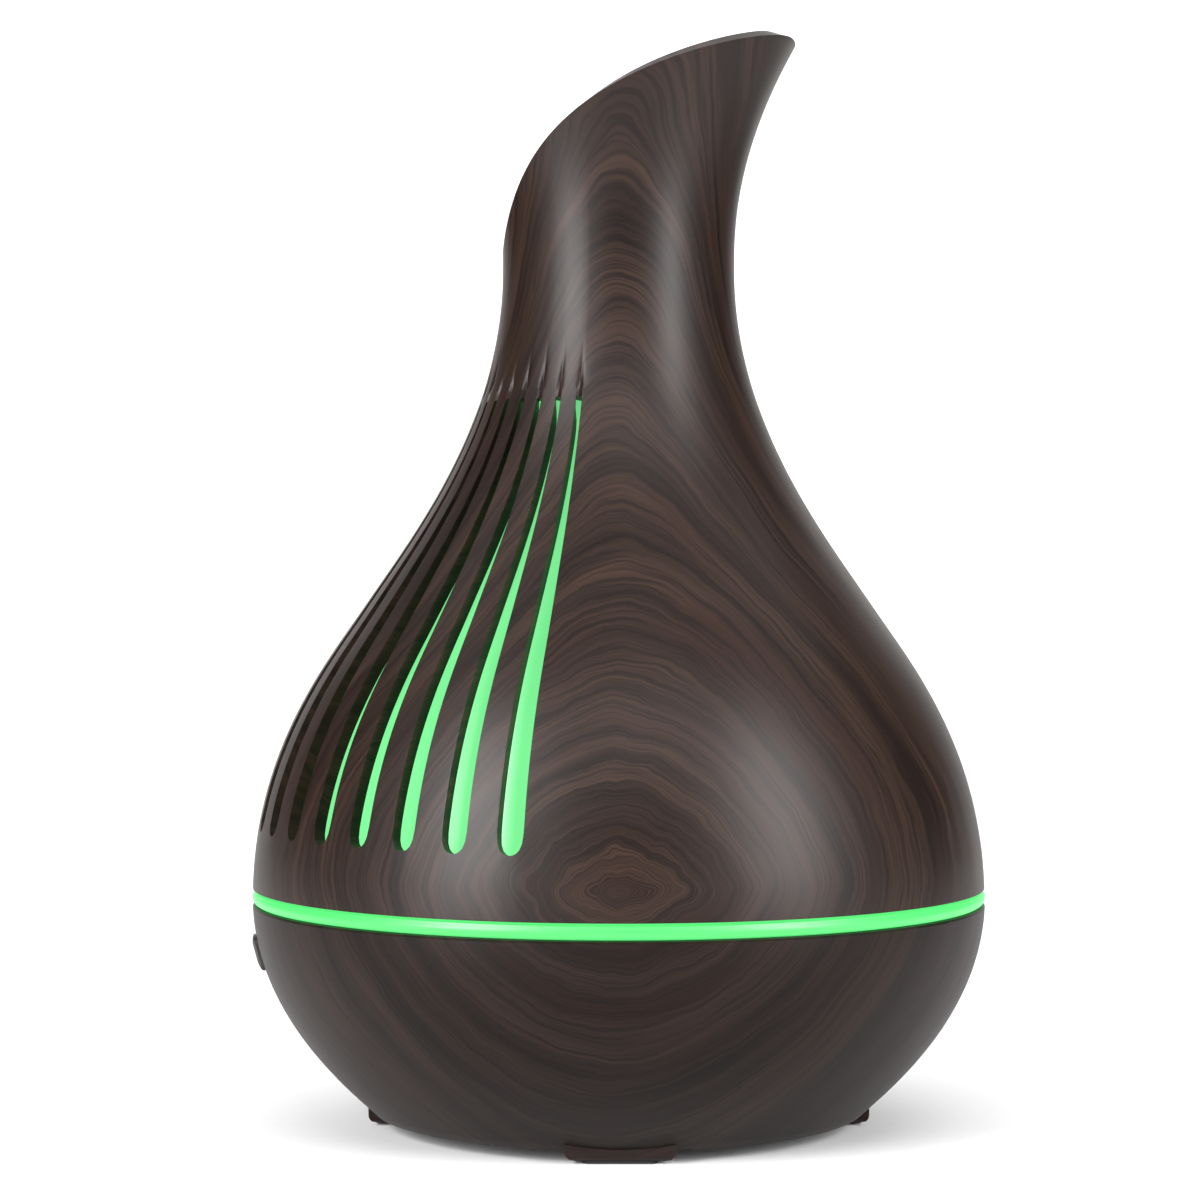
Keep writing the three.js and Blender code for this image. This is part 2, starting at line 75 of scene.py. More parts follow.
RING_LOW, RING_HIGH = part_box("light_ring")
RING_RADIUS = RING_HIGH.x
COVER_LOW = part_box("outer_cover")[0].z
BOWL_LOW, BOWL_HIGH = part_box("base_bowl")[0].z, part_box("base_bowl")[1].z
SHADE_LOW, SHADE_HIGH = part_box("inner_cover")
BUTTONS = ("mist_button", "light_button")
SLOT_CENTRE = math.pi  # the front, -X
SOCKET_PLACE = (0.0678, 0, 0.0125)  # middle of the plug's recess
BUTTON_HEIGHT = 0.0395

# The body's side from the bottom edge to the tip of the spout: cubic curves of radius and height.
SIDE = (
    ((0.0562, 0.0025), (0.0618, 0.0079), (0.0842, 0.0255), (0.0842, 0.052)),
    ((0.0842, 0.052), (0.0842, 0.0861), (0.0663, 0.1071), (0.0592, 0.1177)),
    ((0.0592, 0.1177), (0.0491, 0.1329), (0.0268, 0.160), (0.0268, 0.196)),
    ((0.0268, 0.196), (0.0268, 0.2047), (0.0265, 0.2227), (0.0412, 0.2485)),
)
# The mouth's edge from the low lip to the tip, seen from the side: x and height.
MOUTH = ((-0.0274, 0.196), (-0.0243, 0.2246), (-0.0087, 0.2349), (0.0415, 0.2488))


def linear(hex_colour):
    """The linear RGBA of an sRGB hex colour."""
    parts = [int(hex_colour[i:i + 2], 16) / 255 for i in (1, 3, 5)]
    return tuple(c / 12.92 if c <= 0.04045 else ((c + 0.055) / 1.055) ** 2.4 for c in parts) + (1.0,)


def on_curve(curve, t):
    """A cubic curve's point at t."""
    weights = ((1 - t) ** 3, 3 * t * (1 - t) ** 2, 3 * t * t * (1 - t), t ** 3)
    return tuple(sum(w * p[axis] for w, p in zip(weights, curve)) for axis in (0, 1))


def curve_at_height(curve, height):
    """The curve's parameter at a height, for a curve that only rises."""
    low, high = 0.0, 1.0
    for _ in range(40):
        middle = (low + high) / 2
        if on_curve(curve, middle)[1] < height:
            low = middle
        else:
            high = middle
    return high


def side_point(height, inset=0.0):
    """Radius and height of the body's side, moved in along its normal."""
    curve = next((c for c in SIDE if height <= c[3][1]), SIDE[-1])
    t = curve_at_height(curve, height)
    radius, level = on_curve(curve, t)
    if not inset:
        return radius, level
    step = 1e-3
    before, after = on_curve(curve, max(t - step, 0)), on_curve(curve, min(t + step, 1))
    rise = Vector((after[0] - before[0], after[1] - before[1])).normalized()
    return radius - rise.y * inset, level + rise.x * inset


@functools.lru_cache(maxsize=None)
def exact_radius(height):
    return side_point(height)[0]


def side_radius(height):
    """The body's radius at a height, worked out once for each hundredth of a millimetre."""
    return exact_radius(round(height, 5))


# ---------------------------------------------------------------- settings

class HumidifierSizes(bpy.types.PropertyGroup):
    """Sizes that a user would change."""
    cover_wall: bpy.props.FloatProperty(
        name="Cover wall", description="Thickness of the outer cover", default=0.0027, unit="LENGTH")
    bowl_wall: bpy.props.FloatProperty(
        name="Bowl wall", description="Thickness of the base bowl", default=0.0025, unit="LENGTH")
    shade_wall: bpy.props.FloatProperty(
        name="Shade wall", description="Thickness of the inner cover", default=0.002, unit="LENGTH")
    shade_inset: bpy.props.FloatProperty(
        name="Shade inset", description="From the outer cover's face in to the inner cover's",
        default=0.0115, unit="LENGTH")
    slot_count: bpy.props.IntProperty(
        name="Slots", description="Number of slots in the front of the cover", default=18)
    slot_pitch: bpy.props.FloatProperty(
        name="Slot pitch", description="Angle from slot to slot", default=math.radians(8.7), subtype="ANGLE")
    slot_angle: bpy.props.FloatProperty(
        name="Slot width", description="Angle that a slot takes", default=math.radians(4), subtype="ANGLE")
    slot_low: bpy.props.FloatProperty(
        name="Slot bottom", description="Height of the slots' lower ends", default=0.0675, unit="LENGTH")
    slot_high: bpy.props.FloatProperty(
        name="Slot top", description="Height of the slots' upper ends", default=0.165, unit="LENGTH")
    flute_length: bpy.props.FloatProperty(
        name="Flute length", description="How far a flute runs out above its slot",
        default=0.0105, unit="LENGTH")
    flute_depth: bpy.props.FloatProperty(
        name="Flute depth", description="Depth of a flute where it meets its slot",
        default=0.0008, unit="LENGTH")


class HumidifierColours(bpy.types.PropertyGroup):
    """Colours that a user would change."""
    wood_light: bpy.props.FloatVectorProperty(
        name="Wood, light", description="Lightest woodgrain brown", subtype="COLOR", size=4,
        default=linear("#2c1e18"))
    wood_dark: bpy.props.FloatVectorProperty(
        name="Wood, dark", description="Darker bands between the grain lines", subtype="COLOR", size=4,
        default=linear("#190f0b"))
    wood_line: bpy.props.FloatVectorProperty(
        name="Grain line", description="The thin grain lines", subtype="COLOR", size=4,
        default=linear("#070302"))
    wood_red: bpy.props.FloatVectorProperty(
        name="Red streak", description="Reddish streaks in the wood", subtype="COLOR", size=4,
        default=linear("#21100b"))
    glow: bpy.props.FloatVectorProperty(
        name="Light", description="Colour of the lamps", subtype="COLOR", size=4,
        default=linear("#5cf47c"))
    shade_glow: bpy.props.FloatVectorProperty(
        name="Shade light", description="Colour of the lit inner cover", subtype="COLOR", size=4,
        default=linear("#80f99a"))


def sizes():
    return bpy.context.scene.humidifier_sizes


def colours():
    return bpy.context.scene.humidifier_colours


# ---------------------------------------------------------------- modelling helpers

def deselect():
    if bpy.context.object and bpy.context.object.mode != "OBJECT":
        bpy.ops.object.mode_set(mode="OBJECT")
    bpy.ops.object.select_all(action="DESELECT")


def choose(obj):
    deselect()
    obj.select_set(True)
    bpy.context.view_layer.objects.active = obj


def first_point(name, point):
    """A new mesh of one point, left selected in edit mode, to be extruded into an outline."""
    deselect()
    bpy.ops.mesh.primitive_plane_add(size=MM, location=(0, 0, 0))
    obj = bpy.context.object
    obj.name = obj.data.name = name
    bpy.ops.object.mode_set(mode="EDIT")
    bpy.ops.mesh.select_all(action="SELECT")
    bpy.ops.mesh.merge(type="CENTER")
    bpy.ops.transform.translate(value=point)
    return obj


def draw_outline(name, points, angle=0.0):
    """An open outline of (radius, height) points, drawn by extruding, in the upright plane at an angle."""
    def place(point):
        return Vector((point[0] * math.cos(angle), point[0] * math.sin(angle), point[1]))
    obj = first_point(name, place(points[0]))
    for before, after in zip(points, points[1:]):
        move = place(after) - place(before)
        bpy.ops.mesh.extrude_region_move(TRANSFORM_OT_translate={"value": move})
    bpy.ops.mesh.select_all(action="SELECT")
    return obj


def spin_on(steps, angle):
    bpy.ops.mesh.spin(steps=steps, angle=angle, center=(0, 0, 0), axis=(0, 0, -1))


def close_spin(obj):
    """Joins the seam and the pole of a spun shape and turns its faces outwards."""
    bpy.ops.mesh.select_all(action="SELECT")
    bpy.ops.mesh.remove_doubles(threshold=0.00002)
    bpy.ops.mesh.normals_make_consistent(inside=False)
    bpy.ops.object.mode_set(mode="OBJECT")
    return obj


def spun(name, points, steps, angle=0.0, closed=False):
    """A shape of revolution about Z, spun from an outline. A closed outline ends where it starts."""
    outline = list(points) + ([points[0]] if closed else [])
    obj = draw_outline(name, outline, angle)
    spin_on(steps, math.tau)
    return close_spin(obj)


def add_modifier(obj, kind, **settings):
    modifier = obj.modifiers.new(kind.title(), kind)
    for key, value in settings.items():
        setattr(modifier, key, value)
    return modifier


def apply_modifiers(obj):
    choose(obj)
    for modifier in list(obj.modifiers):
        bpy.ops.object.modifier_apply(modifier=modifier.name)


def smooth(obj, degrees=35):
    choose(obj)
    bpy.ops.object.shade_smooth_by_angle(angle=math.radians(degrees), keep_sharp_edges=True)


def cut(obj, cutter):
    """Takes the cutter's solid out of obj and deletes the cutter."""
    add_modifier(obj, "BOOLEAN", operation="DIFFERENCE", object=cutter, solver="EXACT")
    apply_modifiers(obj)
    mesh = cutter.data
    bpy.data.objects.remove(cutter)
    bpy.data.meshes.remove(mesh)


def block(name, low, high):
    """A box between two corners, with its place in its mesh."""
    deselect()
    low, high = Vector(low), Vector(high)
    bpy.ops.mesh.primitive_cube_add(size=1, location=(low + high) / 2, scale=high - low)
    obj = bpy.context.object
    obj.name = obj.data.name = name
    bpy.ops.object.transform_apply(location=True, rotation=True, scale=True)
    return obj


def bevel_edges(obj, chosen, width, segments):
    """Rounds the edges that chosen(start, end) picks."""
    choose(obj)
    bpy.ops.object.mode_set(mode="EDIT")
    bpy.ops.mesh.select_mode(type="EDGE")
    bpy.ops.mesh.select_all(action="DESELECT")
    shape = bmesh.from_edit_mesh(obj.data)
    for edge in shape.edges:
        edge.select_set(chosen(edge.verts[0].co, edge.verts[1].co))
    shape.select_flush_mode()
    bmesh.update_edit_mesh(obj.data)
    bpy.ops.mesh.bevel(offset=width, segments=segments, affect="EDGES")
    bpy.ops.mesh.select_mode(type="VERT")
    bpy.ops.object.mode_set(mode="OBJECT")


def settle(obj, nodes, body, slot, *materials):
    """Places a finished piece in the frame: what it stands for, what it rides on and its finish."""
    obj.data.materials.clear()
    for material in materials:
        obj.data.materials.append(material)
    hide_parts(*nodes)
    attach(obj, body)
    return obj


# ---------------------------------------------------------------- materials

def add_node(tree, kind, inputs=None, **settings):
    """Adds one node. Inputs are values, or (node, output name) links, by input name or number."""
    node = tree.nodes.new(kind)
    for key, value in settings.items():
        setattr(node, key, value)
    for key, value in (inputs or {}).items():
        if isinstance(value, tuple) and value and isinstance(value[0], bpy.types.Node):
            tree.links.new(value[0].outputs[value[1]], node.inputs[key])
        else:
            node.inputs[key].default_value = value
    return node


def new_material(name, **constants):
    """A material with its Principled shader's constant settings. Returns material, tree and shader."""
    material = bpy.data.materials.new(name)
    material.use_nodes = True
    tree = material.node_tree
    shader = tree.nodes["Principled BSDF"]
    for key, value in constants.items():
        shader.inputs[key.replace("_", " ").title().replace("Ior", "IOR")].default_value = value
    return material, tree, shader


def set_ramp(node, stops):
    """Gives a colour ramp its stops, as (place, colour)."""
    ramp = node.color_ramp
    while len(ramp.elements) > 1:
        ramp.elements.remove(ramp.elements[-1])
    ramp.elements[0].position, ramp.elements[0].color = stops[0]
    for place, colour in stops[1:]:
        ramp.elements.new(place).color = colour


def woodgrain(name, light, dark, line, red, roughness, specular=0.22):
    """ABS with a printed woodgrain film under a satin lacquer.

    The figure is one plain-sawn board wrapped round the body: rings about a knot in the middle of
    the side that faces -Y, drawn out into arches up the neck and into bows round the bowl.
    """
    material, tree, shader = new_material(name, metallic=0.0, ior=1.5)
    shader.inputs["Specular IOR Level"].default_value = specular
    place = add_node(tree, "ShaderNodeTexCoord")
    axes = add_node(tree, "ShaderNodeSeparateXYZ", {0: (place, "Object")})
    behind = add_node(tree, "ShaderNodeMath", {0: (axes, "Y"), 1: -1.0}, operation="MULTIPLY")
    turn = add_node(tree, "ShaderNodeMath", {0: (axes, "X"), 1: (behind, 0)}, operation="ARCTAN2")
    # Slow wander of the rings, 40 mm across, and a ripple 12 mm across.
    wander = add_node(tree, "ShaderNodeTexNoise", {
        "Vector": (place, "Object"), "Scale": 16.0, "Detail": 2.0})
    ripple = add_node(tree, "ShaderNodeTexNoise", {
        "Vector": (place, "Object"), "Scale": 110.0, "Detail": 2.0})
    # How far out a ring lies: a rounded arch in angle and height, wider than it is tall near the knot.
    knot_height, quarter_turn, arch = 0.061, 1.25, 1.4
    across = add_node(tree, "ShaderNodeMath", {0: (turn, 0)}, operation="ABSOLUTE")
    across = add_node(tree, "ShaderNodeMath", {0: (across, 0), 1: quarter_turn}, operation="DIVIDE")
    across = add_node(tree, "ShaderNodeMath", {0: (across, 0), 1: 1.3 * arch}, operation="POWER")
    rise = add_node(tree, "ShaderNodeMath", {0: (axes, "Z"), 1: knot_height}, operation="SUBTRACT")
    above = add_node(tree, "ShaderNodeMath", {0: (rise, 0), 1: 0.0}, operation="MAXIMUM")
    above = add_node(tree, "ShaderNodeMath", {0: (above, 0), 1: 0.128}, operation="DIVIDE")
    below = add_node(tree, "ShaderNodeMath", {0: (rise, 0), 1: 0.0}, operation="MINIMUM")
    below = add_node(tree, "ShaderNodeMath", {0: (below, 0), 1: -0.1}, operation="DIVIDE")
    upright = add_node(tree, "ShaderNodeMath", {0: (above, 0), 1: (below, 0)}, operation="ADD")
    upright = add_node(tree, "ShaderNodeMath", {0: (upright, 0), 1: arch}, operation="POWER")
    rings = add_node(tree, "ShaderNodeMath", {0: (across, 0), 1: (upright, 0)}, operation="ADD")
    rings = add_node(tree, "ShaderNodeMath", {0: (rings, 0), 1: 1 / arch}, operation="POWER")
    swing = add_node(tree, "ShaderNodeMapRange", {"Value": (wander, 0), "To Min": 0.88, "To Max": 1.12})
    rings = add_node(tree, "ShaderNodeMath", {0: (rings, 0), 1: (swing, 0)}, operation="MULTIPLY")
    waves = add_node(tree, "ShaderNodeMapRange", {"Value": (ripple, 0), "To Min": -0.013, "To Max": 0.013})
    rings = add_node(tree, "ShaderNodeMath", {0: (rings, 0), 1: (waves, 0)}, operation="ADD")
    # The knot's own rings are broken up by a crackle 5 mm across that dies out away from it.
    crackle = add_node(tree, "ShaderNodeTexNoise", {
        "Vector": (place, "Object"), "Scale": 90.0, "Detail": 2.0})
    crackle = add_node(tree, "ShaderNodeMath", {0: (crackle, 0), 1: 0.5}, operation="SUBTRACT")
    knot = add_node(tree, "ShaderNodeMapRange", {"Value": (rings, 0), "From Min": 0.02, "From Max": 0.3,
                                                 "To Min": 0.08, "To Max": 0.0})
    rings = add_node(tree, "ShaderNodeMath", {0: (crackle, 0), 1: (knot, 0), 2: (rings, 0)},
                     operation="MULTIPLY_ADD")
    # Rings lie close together near the knot and spread out up the neck.
    rings = add_node(tree, "ShaderNodeMath", {0: (rings, 0), 1: 5.0, 2: 1.0}, operation="MULTIPLY_ADD")
    rings = add_node(tree, "ShaderNodeMath", {0: (rings, 0), 1: math.e}, operation="LOGARITHM")

    def streaks(pitch, length, detail, rough):
        """Noise stretched along the rings: pitch is rings per cycle, length cycles per metre."""
        coarse = add_node(tree, "ShaderNodeMath", {0: (rings, 0), 1: pitch}, operation="MULTIPLY")
        along_x = add_node(tree, "ShaderNodeMath", {0: (axes, "X"), 1: length}, operation="MULTIPLY")
        along_z = add_node(tree, "ShaderNodeMath", {0: (axes, "Z"), 1: length}, operation="MULTIPLY")
        point = add_node(tree, "ShaderNodeCombineXYZ", {
            "X": (coarse, 0), "Y": (along_x, 0), "Z": (along_z, 0)})
        return add_node(tree, "ShaderNodeTexNoise", {
            "Vector": (point, 0), "Scale": 1.0, "Detail": detail, "Roughness": rough})

    bands = streaks(13.0, 8.0, 2.0, 0.5)
    lines = streaks(76.0, 18.0, 2.0, 0.6)
    hairs = streaks(50.0, 12.0, 1.0, 0.5)
    fibres = streaks(190.0, 60.0, 2.0, 0.6)
    tint = streaks(4.0, 14.0, 1.0, 0.5)
    base = add_node(tree, "ShaderNodeValToRGB", {0: (bands, 0)})
    set_ramp(base, [(0.35, dark), (0.65, light)])
    warm = add_node(tree, "ShaderNodeMapRange", {"Value": (tint, 0), "From Min": 0.52, "From Max": 0.72,
                                                 "To Min": 0.0, "To Max": 0.7})
    base = add_node(tree, "ShaderNodeMix", {"Factor": (warm, 0), 6: (base, 0), 7: red}, data_type="RGBA")
    # Thin lines where one noise crosses its middle, and softer ones where another runs low.
    crossing = add_node(tree, "ShaderNodeMath", {0: (hairs, 0), 1: 0.5}, operation="SUBTRACT")
    crossing = add_node(tree, "ShaderNodeMath", {0: (crossing, 0)}, operation="ABSOLUTE")
    mark = add_node(tree, "ShaderNodeMapRange", {"Value": (crossing, 0), "From Min": 0.004, "From Max": 0.035,
                                                 "To Min": 0.66, "To Max": 0.0})
    soft = add_node(tree, "ShaderNodeMapRange", {"Value": (lines, 0), "From Min": 0.52, "From Max": 0.38,
                                                 "To Min": 0.0, "To Max": 0.68})
    mark = add_node(tree, "ShaderNodeMath", {0: (mark, 0), 1: (soft, 0)}, operation="MAXIMUM")
    fine = add_node(tree, "ShaderNodeMapRange", {"Value": (fibres, 0), "From Min": 0.5, "From Max": 0.3,
                                                 "To Min": 0.0, "To Max": 0.4})
    both = add_node(tree, "ShaderNodeMath", {0: (mark, 0), 1: (fine, 0)}, operation="MAXIMUM")
    colour = add_node(tree, "ShaderNodeMix", {"Factor": (both, 0), 6: (base, 2), 7: line}, data_type="RGBA")
    tree.links.new(colour.outputs[2], shader.inputs["Base Color"])
    gloss = add_node(tree, "ShaderNodeMapRange", {"Value": (fibres, 0), "To Min": roughness - 0.04,
                                                  "To Max": roughness + 0.06})
    tree.links.new(gloss.outputs[0], shader.inputs["Roughness"])
    relief = add_node(tree, "ShaderNodeBump", {"Strength": 0.12, "Distance": 0.00015, "Height": (lines, 0)})
    tree.links.new(relief.outputs[0], shader.inputs["Normal"])
    return material


def moulded_plastic(name, hex_colour, roughness, grain=0.04, speck=1400.0, depth=0.00003):
    """Injection-moulded ABS: a fine spark-eroded texture that breaks up the gloss."""
    material, tree, shader = new_material(name, metallic=0.0, ior=1.5)
    place = add_node(tree, "ShaderNodeTexCoord")
    pits = add_node(tree, "ShaderNodeTexNoise", {"Vector": (place, "Object"), "Scale": speck, "Detail": 2.0})
    cloud = add_node(tree, "ShaderNodeTexNoise", {"Vector": (place, "Object"), "Scale": 60.0, "Detail": 2.0})
    base = linear(hex_colour)
    deep = tuple(c * 0.8 for c in base[:3]) + (1.0,)
    tone = add_node(tree, "ShaderNodeMix", {"Factor": (cloud, 0), 6: deep, 7: base}, data_type="RGBA")
    tree.links.new(tone.outputs[2], shader.inputs["Base Color"])
    gloss = add_node(tree, "ShaderNodeMapRange", {"Value": (pits, 0), "To Min": roughness - grain,
                                                  "To Max": roughness + grain})
    tree.links.new(gloss.outputs[0], shader.inputs["Roughness"])
    relief = add_node(tree, "ShaderNodeBump", {"Strength": 0.3, "Distance": depth, "Height": (pits, 0)})
    tree.links.new(relief.outputs[0], shader.inputs["Normal"])
    return material


def lit_plastic(name, hex_body, glow, strength, low, high, fade):
    """Translucent polypropylene lit from behind: fullest near the lamps, fading with height."""
    material, tree, shader = new_material(name, metallic=0.0, ior=1.49, roughness=0.4)
    place = add_node(tree, "ShaderNodeTexCoord")
    axes = add_node(tree, "ShaderNodeSeparateXYZ", {0: (place, "Object")})
    cloud = add_node(tree, "ShaderNodeTexNoise", {"Vector": (place, "Object"), "Scale": 45.0, "Detail": 2.0})
    body = linear(hex_body)
    pale = tuple(min(c * 1.25, 1.0) for c in body[:3]) + (1.0,)
    tone = add_node(tree, "ShaderNodeMix", {"Factor": (cloud, 0), 6: body, 7: pale}, data_type="RGBA")
    tree.links.new(tone.outputs[2], shader.inputs["Base Color"])
    height = add_node(tree, "ShaderNodeMapRange", {"Value": (axes, "Z"), "From Min": low, "From Max": high,
                                                   "To Min": strength, "To Max": strength * fade})
    ripple = add_node(tree, "ShaderNodeMapRange", {"Value": (cloud, 0), "To Min": 0.92, "To Max": 1.08})
    light = add_node(tree, "ShaderNodeMath", {0: (height, 0), 1: (ripple, 0)}, operation="MULTIPLY")
    shader.inputs["Emission Color"].default_value = glow
    tree.links.new(light.outputs[0], shader.inputs["Emission Strength"])
    return material


def metal(name, hex_colour, roughness, scratch=(400.0, 400.0, 40.0)):
    """Bare or plated metal with fine drawing marks."""
    material, tree, shader = new_material(name, metallic=1.0)
    place = add_node(tree, "ShaderNodeTexCoord")
    stretch = add_node(tree, "ShaderNodeMapping", {"Vector": (place, "Object"), "Scale": scratch})
    marks = add_node(tree, "ShaderNodeTexNoise", {"Vector": (stretch, 0), "Scale": 4.0, "Detail": 3.0})
    base = linear(hex_colour)
    dull = tuple(c * 0.75 for c in base[:3]) + (1.0,)
    tone = add_node(tree, "ShaderNodeMix", {"Factor": (marks, 0), 6: dull, 7: base}, data_type="RGBA")
    tree.links.new(tone.outputs[2], shader.inputs["Base Color"])
    gloss = add_node(tree, "ShaderNodeMapRange", {"Value": (marks, 0), "To Min": roughness - 0.08,
                                                  "To Max": roughness + 0.1})
    tree.links.new(gloss.outputs[0], shader.inputs["Roughness"])
    return material


def circuit_board(name):
    """FR4 board under green solder mask, with tracks about 1 mm wide showing through."""
    material, tree, shader = new_material(name, metallic=0.0, ior=1.5, roughness=0.3)
    place = add_node(tree, "ShaderNodeTexCoord")
    tracks = add_node(tree, "ShaderNodeTexVoronoi", {"Vector": (place, "Object"), "Scale": 420.0},
                      distance="CHEBYCHEV", feature="F1")
    ramp = add_node(tree, "ShaderNodeValToRGB", {0: (tracks, "Distance")})
    set_ramp(ramp, [(0.30, linear("#1d6b3f")), (0.36, linear("#12492a"))])
    tree.links.new(ramp.outputs[0], shader.inputs["Base Color"])
    return material


def milky_plastic(name, hex_colour):
    """Natural polypropylene: milky, a little light passes through it."""
    material, tree, shader = new_material(
        name, metallic=0.0, ior=1.49, roughness=0.38, subsurface_weight=0.3, subsurface_scale=0.004)
    place = add_node(tree, "ShaderNodeTexCoord")
    cloud = add_node(tree, "ShaderNodeTexNoise", {"Vector": (place, "Object"), "Scale": 30.0, "Detail": 3.0})
    base = linear(hex_colour)
    shade = tuple(c * 0.9 for c in base[:3]) + (1.0,)
    tone = add_node(tree, "ShaderNodeMix", {"Factor": (cloud, 0), 6: shade, 7: base}, data_type="RGBA")
    tree.links.new(tone.outputs[2], shader.inputs["Base Color"])
    relief = add_node(tree, "ShaderNodeBump", {"Strength": 0.1, "Distance": 0.0002, "Height": (cloud, 0)})
    tree.links.new(relief.outputs[0], shader.inputs["Normal"])
    return material


MATERIALS = {}


def painted_shade_colour(colour, share):
    """A colour with this share of its light: painted shade, for a darker copy of a finish."""
    return tuple(c * share for c in colour[:3]) + (1.0,)


def finish(name):
    """The named finish, made the first time that it is asked for."""
    if name not in MATERIALS:
        c = colours()
        makers = {
            "woodgrain": lambda: woodgrain(
                "Woodgrain ABS", c.wood_light, c.wood_dark, c.wood_line, c.wood_red, 0.4),
            # The bowl's woodgrain is the cover's with 0.6 of its light and a weaker specular: the darker
            # colours are painted shade on the bowl.
            "bowl_woodgrain_painted_shade": lambda: woodgrain(
                "Woodgrain ABS, bowl, painted shade", painted_shade_colour(c.wood_light, 0.6), painted_shade_colour(c.wood_dark, 0.6), c.wood_line,
                painted_shade_colour(c.wood_red, 0.6), 0.42, 0.14),
            "foot": lambda: woodgrain(
                "Woodgrain ABS, foot", c.wood_dark, c.wood_red, c.wood_line, c.wood_red, 0.45),
            "shell_inside": lambda: moulded_plastic("Dark brown ABS", "#1d1614", 0.5),
            "button": lambda: moulded_plastic("Black ABS, satin", "#191614", 0.4),
            "black": lambda: moulded_plastic("Black ABS, textured", "#181716", 0.55, 0.08),
            "rubber": lambda: moulded_plastic("Black rubber", "#131212", 0.85, 0.05, 900.0, 0.00006),
            "ring": lambda: lit_plastic("Lit ring", "#0c3018", c.glow, 1.0, RING_LOW.z, RING_HIGH.z, 1.0),
            "shade": lambda: lit_plastic(
                "Lit shade", "#0f3a1c", c.shade_glow, 0.98, 0.08, SHADE_HIGH.z, 0.62),
            "tank": lambda: milky_plastic("Milky polypropylene", "#a4aaa6"),
            "board": lambda: circuit_board("Circuit board"),
            "steel": lambda: metal("Zinc-plated steel", "#b9bcc0", 0.3),
            "aluminium": lambda: metal("Bare aluminium", "#c4c7ca", 0.38),
            "disc": lambda: metal("Nickel silver disc", "#c9c2ae", 0.28, (60.0, 60.0, 400.0)),
            "bronze": lambda: metal("Sintered bronze", "#a8793f", 0.45),
            "copper": lambda: metal("Enamelled copper wire", "#a85a30", 0.35, (40.0, 40.0, 900.0)),
            "lamp": lambda: lit_plastic("Lamp", "#dfe8d8", c.glow, 1.5, 0.0, 0.1, 1.0),
        }
        MATERIALS[name] = makers[name]()
    return MATERIALS[name]


# ---------------------------------------------------------------- the outer cover

def mouth_x(height):
    """x of the mouth's cut at a height."""
    t = curve_at_height(MOUTH, min(max(height, MOUTH[0][1]), MOUTH[-1][1]))
    return on_curve(MOUTH, t)[0]


@functools.lru_cache(maxsize=None)
def mouth_height(angle):
    """Height where the mouth's cut crosses the side at an angle round from +X."""
    low, high = MOUTH[0][1], SIDE[-1][3][1] - 0.0004
    if side_radius(high) * math.cos(angle) > mouth_x(high):
        return high
    for _ in range(40):
        middle = (low + high) / 2
        if side_radius(middle) * math.cos(angle) > mouth_x(middle):
            low = middle
        else:
            high = middle
    return low


def cover_heights():
    """Rows of the cover: the rebate, the round slot ends, the straight run and the flutes."""
    s = sizes()
    end_radius = side_radius(s.slot_low) * math.tan(s.slot_angle / 2)
    first = s.slot_low + end_radius
    straight = 22
    rows = [COVER_LOW, COVER_LOW + 0.0012, 0.058, 0.0615, 0.0645, first]
    rows += [first + (s.slot_high - first) * i / straight for i in range(1, straight + 1)]
    rows += [s.slot_high + s.flute_length * f for f in (0.16, 0.35, 0.6, 1.0)]
    rows += [0.1795, 0.184, 0.188]
    return rows


